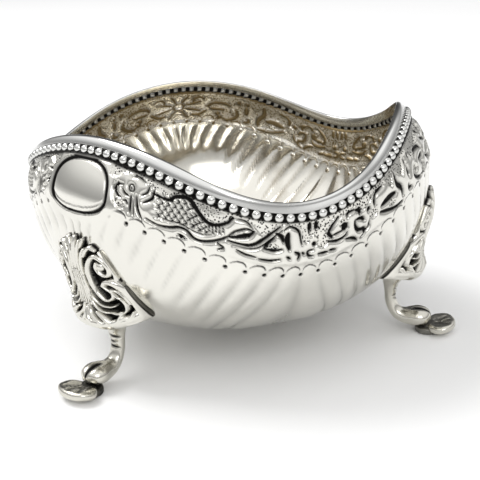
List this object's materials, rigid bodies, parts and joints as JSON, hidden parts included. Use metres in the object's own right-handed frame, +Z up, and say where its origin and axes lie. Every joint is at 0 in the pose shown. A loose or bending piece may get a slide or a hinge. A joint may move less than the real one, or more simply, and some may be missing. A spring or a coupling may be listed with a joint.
{
  "type": "sauce boat",
  "caption": "Round silver sauce bowl on cast legs, with fluted sides, a chased band, and a waved rim edged with beads and a plain lip.",
  "frame": {"origin": "middle of the outline seen from above, at the height of the table; the bowl's own axis stands 4.25 mm from it towards +Y, because the front toe reaches further out than the back of the bowl", "axes": "+Z up along the bowl's axis, -Y towards the front leg, which stands under the cartouche"},
  "size_m": [0.126, 0.1348, 0.074],
  "materials": {
    "bowl_silver": "polished",
    "border_silver": "polished",
    "cast_silver": "gloss"
  },
  "bodies": {
    "root": {"bowl_base": "bowl_silver", "bowl_side": "bowl_silver", "bowl_band": "bowl_silver", "bead_border": "border_silver", "rim_lip": "border_silver", "knee_front": "cast_silver", "knee_right": "cast_silver", "knee_left": "cast_silver", "leg_front": "cast_silver", "leg_right": "cast_silver", "leg_left": "cast_silver"}
  },
  "joints": []
}
